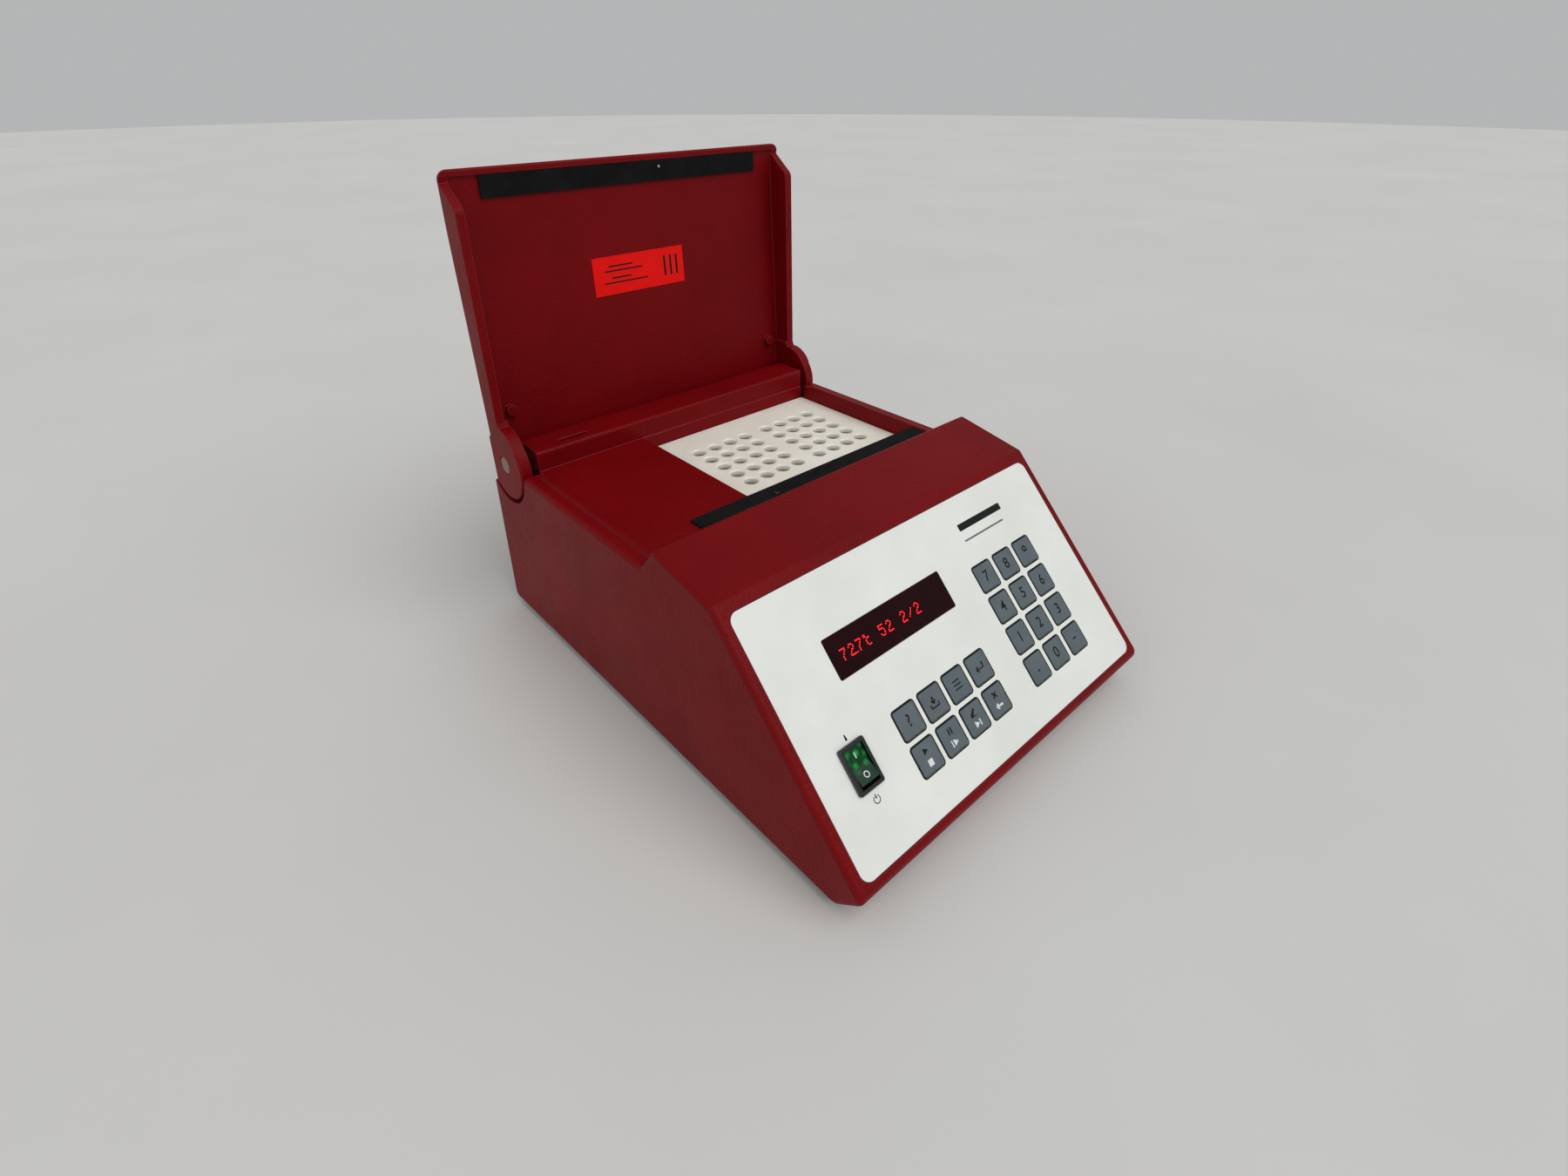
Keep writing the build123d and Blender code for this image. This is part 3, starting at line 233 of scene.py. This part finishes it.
def lit_rocker():
    """Translucent polycarbonate rocker with a lamp under its upper half: green, brightest in uneven patches."""
    material = finish("translucent_green_polycarbonate", "063A1F", "032416", 0.2, drift=4, grain=1.5, depth=0.01,
                      spread=0.05, soft_edge=0.4, **{"Specular IOR Level": 0.2})
    tree = material.node_tree
    skin = next(n for n in tree.nodes if n.type == "BSDF_PRINCIPLED")
    place = add(tree, "TexCoord").outputs["Object"]
    lamp = node_middle("power_rocker") + UP_SLOPE * 3.6 * MM
    reach = add(tree, "VectorMath", {0: place, 1: lamp}, operation="DISTANCE")
    near = add(tree, "MapRange", {"Value": reach.outputs["Value"], "From Min": 8.0 * MM, "From Max": 1.0 * MM})
    facets = add(tree, "TexVoronoi", {"Vector": place, "Scale": 1 / (3.2 * MM)})
    flicker = add(tree, "MapRange", {"Value": facets.outputs["Distance"], "From Min": 0.15, "From Max": 0.6,
                                     "To Min": 0.7, "To Max": 0.03})
    light = add(tree, "Math", {0: near.outputs[0], 1: flicker.outputs[0]}, operation="MULTIPLY")
    skin.inputs["Emission Color"].default_value = linear("18C04A")
    tree.links.new(light.outputs[0], skin.inputs["Emission Strength"])
    return material


# Screen-printing inks: flat and slightly grainy.
ink_black = finish("black_screen_ink", "101112", "0B0C0D", 0.6, drift=3, grain=0.5, depth=0.004,
                   **{"Specular IOR Level": 0.2})
ink_grey = finish("grey_screen_ink", "6E7070", "626464", 0.6, drift=3, grain=0.5, depth=0.004)
ink_white = finish("white_screen_ink", "DFE4E2", "CBD1CF", 0.6, drift=2, grain=0.5, depth=0.004)
# Lit dots of the display: a saturated red that glows.
lit_dot = finish("lit_red_dots", "FF1A20", "E00C14", 0.4, drift=1.5, grain=0.5, depth=0.002, glow=("FF0A18", 2.6))

FINISHES = {
    "crimson_lacquer": crimson, "base_sheet": black_sheet, "black_rubber": rubber, "zinc_screw": zinc,
    "pin_steel": pin, "black_foam": foam, "red_label": vinyl, "white_overlay": film, "plate_aluminium": brushed,
    "red_window": acrylic, "led_cells": epoxy_red, "circuit_board": solder_mask, "silicone_mat": silicone,
    "black_gloss": nylon, "green_rocker": lit_rocker(), "brass_blade": brass, "cream_plastic": cover_white,
    "block_aluminium": milled, "foam_collar": collar, "peltier_ceramic": alumina, "sink_aluminium": extruded,
    "grey_plastic": grey_moulded, "fan_black": fan_moulded, "copper_winding": winding, "chip_black": chip,
    "black_matte": inlet_black, "nickel_blade": nickel, "key_grey": key_plastic,
}
for node in NODES.values():
    for slot in node.material_slots:
        slot.material = FINISHES[slot.material.name.split(".")[0]]


# ---- flat prints and small fittings --------------------------------------------------------
def place_piece(name, mesh, matrix, finish_material, body):
    """Puts a mesh drawn in millimetres in its place and hangs it on a body."""
    mesh.transform(matrix)
    mesh.materials.clear()
    mesh.materials.append(finish_material)
    piece = bpy.data.objects.new(name, mesh)
    bpy.context.scene.collection.objects.link(piece)
    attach(piece, body)
    return piece


def flat_print(name, outlines, matrix, finish_material, body, thick=INK):
    """A print of closed outlines, each a list of (x, y) in mm, raised by thick."""
    shape = bmesh.new()
    for outline in outlines:
        shape.faces.new([shape.verts.new((x, y, 0)) for x, y in outline])
    bmesh.ops.remove_doubles(shape, verts=shape.verts, dist=0.001)
    bmesh.ops.recalc_face_normals(shape, faces=shape.faces)
    for face in shape.faces:
        if face.normal.z > 0:
            face.normal_flip()
    raised = bmesh.ops.extrude_face_region(shape, geom=list(shape.faces), use_keep_orig=True)
    top = [v for v in raised["geom"] if isinstance(v, bmesh.types.BMVert)]
    bmesh.ops.translate(shape, vec=(0, 0, thick), verts=top)
    bmesh.ops.recalc_face_normals(shape, faces=shape.faces)
    mesh = bpy.data.meshes.new(name)
    shape.to_mesh(mesh)
    shape.free()
    return place_piece(name, mesh, matrix, finish_material, body)


def arc(x, y, radius, start, stop, steps):
    """Points along an arc, degrees."""
    angles = [math.radians(start + (stop - start) * i / steps) for i in range(steps + 1)]
    return [(x + radius * math.cos(a), y + radius * math.sin(a)) for a in angles]


def bar(x, y, width, height, radius=0.0):
    """Outline of a bar with rounded corners about (x, y)."""
    w, h = width / 2 - radius, height / 2 - radius
    if not radius:
        return [(x - w, y - h), (x + w, y - h), (x + w, y + h), (x - w, y + h)]
    corners = ((w, h, 0), (-w, h, 90), (-w, -h, 180), (w, -h, 270))
    return [p for cx, cy, a in corners for p in arc(x + cx, y + cy, radius, a, a + 90, 5)]


def stroke(points, width):
    """A drawn line as quads with mitred corners."""
    sides = []
    for i, (x, y) in enumerate(points):
        before, after = points[max(i - 1, 0)], points[min(i + 1, len(points) - 1)]
        a, b = Vector((x - before[0], y - before[1])), Vector((after[0] - x, after[1] - y))
        a, b = (a or b).normalized(), (b or a).normalized()
        mid = Vector((-(a + b).y, (a + b).x)).normalized()
        reach = width / 2 / max(0.5, mid.dot(Vector((-a.y, a.x))))
        sides.append(((x + mid.x * reach, y + mid.y * reach), (x - mid.x * reach, y - mid.y * reach)))
    return [[p[0], q[0], q[1], p[1]] for p, q in zip(sides, sides[1:])]


def band(outer, inner):
    """Quads between two outlines with the same number of points."""
    n = len(outer)
    return [[outer[i], outer[(i + 1) % n], inner[(i + 1) % n], inner[i]] for i in range(n)]


def ring(x, y, radius, width, steps=28):
    out = arc(x, y, radius + width / 2, 0, 360, steps)[:-1]
    return band(out, arc(x, y, radius - width / 2, 0, 360, steps)[:-1])


def numeral(name, text, height, matrix, finish_material, body):
    """A printed numeral or plain sign, height in mm."""
    letter = bpy.data.curves.new(name, "FONT")
    letter.body = text
    letter.size = height / 0.72
    letter.align_x, letter.align_y = "CENTER", "CENTER"
    letter.offset = 0.014 * height
    letter.extrude = INK / 2
    holder = bpy.data.objects.new(name + "_curve", letter)
    bpy.context.scene.collection.objects.link(holder)
    bpy.context.view_layer.update()
    mesh = bpy.data.meshes.new_from_object(holder.evaluated_get(bpy.context.evaluated_depsgraph_get()))
    bpy.data.objects.remove(holder)
    bpy.data.curves.remove(letter)
    mesh.name = name
    return place_piece(name, mesh, matrix, finish_material, body)


# Black outline printed round every key opening, from the opening out.
KEY_NAMES = [n[4:] for n in NODES if n.startswith("key_") and n != "key_mats"]
OPENING = (14.2, 14.1, 1.35)         # width, height and corner radius
OUTLINE = 0.7
wide, tall, corner = OPENING
for key in KEY_NAMES:
    u, v = on_panel("key_" + key)
    outer = bar(u, v, wide + 2 * OUTLINE, tall + 2 * OUTLINE, corner + OUTLINE)
    flat_print("key_outline_" + key, band(outer, bar(u, v, wide, tall, corner)), panel_spot(0, 0, SHEET_FACE),
               ink_black, "casing")

# Numerals on the number keys.
NUMERAL_HEIGHT = 5.8
for key in KEY_NAMES:
    spot = panel_spot(*on_panel("key_" + key), KEY_FACE)
    if key.isdigit():
        numeral("numeral_" + key, key, NUMERAL_HEIGHT, spot, ink_black, "press_" + key)
flat_print("sign_dot", [arc(0, -1.6, 0.65, 0, 360, 14)[:-1]], panel_spot(*on_panel("key_dot"), KEY_FACE),
           ink_black, "press_dot")
flat_print("sign_minus", [bar(0, 0, 3.0, 0.75)], panel_spot(*on_panel("key_minus"), KEY_FACE),
           ink_black, "press_minus")

# Plain signs on the function keys: black above, white below.
LINE = 0.62
TRIANGLE = [(-1.3, -1.6), (1.7, 0.0), (-1.3, 1.6)]


def moved(outlines, x, y):
    return [[(a + x, b + y) for a, b in outline] for outline in outlines]


SIGNS = {
    "store": (stroke([(0, 2.6), (0, -0.2)], LINE) + stroke([(-1.4, 1.0), (0, -0.5), (1.4, 1.0)], LINE)
              + stroke([(-2.6, -0.6), (-2.6, -2.2), (2.6, -2.2), (2.6, -0.6)], LINE), None),
    "menu": ([bar(0, y, 5.2, LINE) for y in (1.9, 0, -1.9)], None),
    "enter": (stroke([(2.6, 2.0), (2.6, -0.6), (-2.4, -0.6)], LINE)
              + stroke([(-1.0, 0.8), (-2.5, -0.6), (-1.0, -2.0)], LINE), None),
    "start": (moved([TRIANGLE], 0, 2.7), [bar(0, -2.8, 3.0, 3.0)]),
    "pause": ([bar(x, 2.7, 0.9, 3.1) for x in (-0.9, 0.9)],
              moved([TRIANGLE], 0.6, -2.8) + [bar(-1.9, -2.8, 0.7, 3.1)]),
    "edit": (stroke([(-1.7, 1.2), (1.5, 4.2)], 0.9) + stroke([(-2.2, 0.9), (1.9, 0.9)], 0.35),
             moved([TRIANGLE], -0.5, -2.8) + [bar(1.9, -2.8, 0.7, 3.1)]),
    "clear": (stroke([(-1.4, 1.3), (1.4, 4.1)], LINE) + stroke([(-1.4, 4.1), (1.4, 1.3)], LINE),
              stroke([(2.4, -2.8), (-2.2, -2.8)], LINE) + stroke([(-0.9, -1.5), (-2.3, -2.8), (-0.9, -4.1)], LINE)),
}
numeral("sign_help", "?", NUMERAL_HEIGHT, panel_spot(*on_panel("key_help"), KEY_FACE), ink_black,
        "press_help")
for key, (upper, lower) in SIGNS.items():
    spot = panel_spot(*on_panel("key_" + key), KEY_FACE)
    flat_print(f"sign_{key}_upper", upper, spot, ink_black, "press_" + key)
    if lower:
        flat_print(f"sign_{key}_lower", lower, spot, ink_white, "press_" + key)

# Plain bars stand where a maker's words would be.
flat_print("panel_bar_bold", [bar(55.3, 44.3, 37.0, 3.8, 0.5)], panel_spot(0, 0, SHEET_FACE), ink_black,
           "casing")
flat_print("panel_bar_fine", [bar(53.6, 36.9, 34.0, 1.0, 0.3)], panel_spot(0, 0, SHEET_FACE), ink_grey,
           "casing")

# On mark above the switch and standby sign under it.
switch_u, switch_v = on_panel("switch_housing")
flat_print("switch_on_mark", stroke([(switch_u, switch_v + 11.8), (switch_u, switch_v + 14.4)], LINE),
           panel_spot(0, 0, SHEET_FACE), ink_black, "casing")
STANDBY_V = switch_v - 15.0
standby = arc(switch_u, STANDBY_V, 1.7, 125, 415, 22)
flat_print("switch_standby_sign", stroke(standby, 0.42) + stroke(
    [(switch_u, STANDBY_V + 0.3), (switch_u, STANDBY_V + 2.3)], 0.42),
    panel_spot(0, 0, SHEET_FACE), ink_black, "casing")

# White line and ring moulded into the rocker's two faces.
ROCKER_AXIS_W = -3.0
ROCKER_TILT = math.radians(-9.0)
ROCKER_DISH = math.radians(8.2)      # each half of the dished top rises towards its end
ROCKER_TOP = 3.3                     # top over the axle
MARK_RUN = 4.4                       # marks' distance from the axle
ROCKER_MARKS = (("rocker_line", 1, [bar(0, 0, 0.5, 2.6)]), ("rocker_ring", -1, ring(0, 0, 1.25, 0.45)))
to_axle = panel_spot(switch_u, switch_v, ROCKER_AXIS_W, ROCKER_TILT)
for mark_name, side, outlines in ROCKER_MARKS:
    top = Matrix.Translation((0, side * MARK_RUN, ROCKER_TOP + MARK_RUN * math.tan(ROCKER_DISH)))
    flat_print(mark_name, outlines, to_axle @ top @ Matrix.Rotation(side * ROCKER_DISH, 4, "X"), ink_white,
               "rocker", 0.03)

# ---- display: five by seven dots a character, fourteen characters at 5.08 mm ---------------------
DOTS = {
    "2": "01110 10001 00001 00110 01000 10000 11111", "5": "11111 10000 11110 00001 00001 10001 01110",
    "7": "11111 00001 00010 00100 01000 01000 01000", "/": "00000 00001 00010 00100 01000 10000 00000",
    "c": "11000 11000 00111 01000 01000 01000 00111",
}
READING = "727c 52 2/2"
CHARACTER_PITCH, DOT_PITCH_U, DOT_PITCH_V, DOT_RADIUS = 5.08, 0.66, 0.80, 0.29
window_u, window_v = on_panel("display_window")
CHARACTERS, BASE_DROP = 14, 0.4
first_u = window_u - (CHARACTERS - 1) / 2 * CHARACTER_PITCH
dots = []
for place_index, character in enumerate(READING):
    for row, line in enumerate(DOTS.get(character, "").split()):
        for column, lit in enumerate(line):
            if lit == "1":
                dots.append(arc(first_u + place_index * CHARACTER_PITCH + (column - 2) * DOT_PITCH_U,
                                window_v - BASE_DROP + (3 - row) * DOT_PITCH_V, DOT_RADIUS, 0, 360, 8)[:-1])
dots.append(arc(first_u + 1.5 * CHARACTER_PITCH, window_v - BASE_DROP - 3 * DOT_PITCH_V, DOT_RADIUS, 0, 360, 8)[:-1])
flat_print("display_dots", dots, panel_spot(0, 0, WINDOW_FACE), lit_dot, "casing", 0.03)

# ---- lid label: plain lines and bars in place of words --------------------------------------------
label_low, label_high = (Vector(c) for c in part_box("lid_label"))
front = max(NODES["lid_label"].data.polygons, key=lambda p: p.area * (p.normal.y < 0))
label_out = front.normal.copy()
label_up = ACROSS.cross(label_out).normalized()
label_up = label_up if label_up.z > 0 else -label_up
label_middle = (label_low + label_high) / 2
label_middle += label_out * (front.center - label_middle).dot(label_out)
label_axes = Matrix((label_up.cross(label_out), label_up, label_out)).transposed().to_4x4()
on_label = Matrix.Translation(label_middle) @ label_axes @ Matrix.Scale(MM, 4)
lines = [bar(-13.5, 5.4, 17, 0.9), bar(-11.5, 2.6, 27, 0.9), bar(-13.5, -1.6, 14, 0.9), bar(-10.5, -4.4, 31, 0.9)]
flat_print("label_lines", lines, on_label, ink_black, "lid", 0.03)
flat_print("label_bars", [bar(x, 0.4, 1.5, 12.5, 0.6) for x in (18.5, 23.0, 27.5)], on_label, ink_black,
           "lid", 0.03)

# Small dome on the lid strip and bent tab on the deck strip; what they are for is a guess.
strip_low, strip_high = (Vector(c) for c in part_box("lid_strip"))
DOME_X, DOME_UP, DOME_SIDES = 18.5, 2.0, 20
DOME_PROFILE = ((0.9, 0), (0.8, 0.25), (0.55, 0.45), (0.25, 0.55))     # radius and height
strip_face = Matrix.Translation((DOME_X * MM, strip_low.y, (strip_low.z + strip_high.z) / 2 + DOME_UP * MM))
dome = bmesh.new()
levels = [[dome.verts.new((x, y, h)) for x, y in arc(0, 0, r, 0, 360, DOME_SIDES)[:-1]] for r, h in DOME_PROFILE]
for low, high in zip(levels, levels[1:]):
    for i in range(DOME_SIDES):
        j = (i + 1) % DOME_SIDES
        dome.faces.new([low[i], low[j], high[j], high[i]])
dome.faces.new(levels[-1])
dome.faces.new(levels[0][::-1])
dome_mesh = bpy.data.meshes.new("lid_sense_dome")
dome.to_mesh(dome_mesh)
dome.free()
place_piece("lid_sense_dome", dome_mesh, strip_face @ label_axes @ Matrix.Scale(MM, 4), nickel,
            "lid")
deck_low, deck_high = (Vector(c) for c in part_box("deck_strip"))
TAB_X = -19.5
tab_spot = Matrix.Translation((TAB_X * MM, (deck_low.y + deck_high.y) / 2, deck_high.z)) @ Matrix.Scale(MM, 4)
flat_print("deck_sense_tab", stroke([(-1.3, 1.0), (-1.3, -0.8), (1.1, -0.8)], 0.45), tab_spot, nickel,
           "casing", 0.35)

# ---- floor, light and camera ------------------------------------------------------------------
FLOOR_RADIUS, FLOOR_DROP = 6.0, 0.0002     # metres
floor_mesh = bpy.data.meshes.new("studio_floor")
edge = bmesh.new()
bmesh.ops.create_circle(edge, cap_ends=True, radius=FLOOR_RADIUS, segments=96)
edge.to_mesh(floor_mesh)
edge.free()
# Matt painted board: pale and even.
floor_mesh.materials.append(finish("painted_board", "D2D1CE", "CDCCC9", 0.75, drift=400, grain=4, depth=0.01))
floor = bpy.data.objects.new("studio_floor", floor_mesh)
floor.location.z = -FLOOR_DROP
bpy.context.scene.collection.objects.link(floor)

world = bpy.data.worlds.new("studio")
world.use_nodes = True
world.node_tree.nodes["Background"].inputs[0].default_value = linear("E6E7E8")
world.node_tree.nodes["Background"].inputs[1].default_value = 0.58
bpy.context.scene.world = world


def soft_light(name, toward, spread, power):
    """A broad, even studio light shining from one direction."""
    lamp = bpy.data.lights.new(name, "SUN")
    lamp.angle, lamp.energy = math.radians(spread), power
    holder = bpy.data.objects.new(name, lamp)
    holder.rotation_euler = Vector(toward).to_track_quat("Z", "Y").to_euler()
    bpy.context.scene.collection.objects.link(holder)


soft_light("front_light", (0.15, -0.62, 0.9), 50, 1.35)
soft_light("side_light", (-1.0, -0.15, 0.55), 55, 0.45)

camera = bpy.data.cameras.new("camera")
camera.sensor_width, camera.sensor_fit, camera.lens = 36.0, "HORIZONTAL", 17.913
camera.shift_x, camera.shift_y = 0.01163, -0.06010
camera.clip_start, camera.clip_end = 0.01, 30.0
eye = bpy.data.objects.new("camera", camera)
eye.location = (-0.269234, -0.274671, 0.309988)
eye.rotation_euler = [math.radians(a) for a in (61.28, 0.109, -41.465)]
bpy.context.scene.collection.objects.link(eye)
bpy.context.scene.camera = eye
bpy.context.scene.view_settings.view_transform = "Standard"
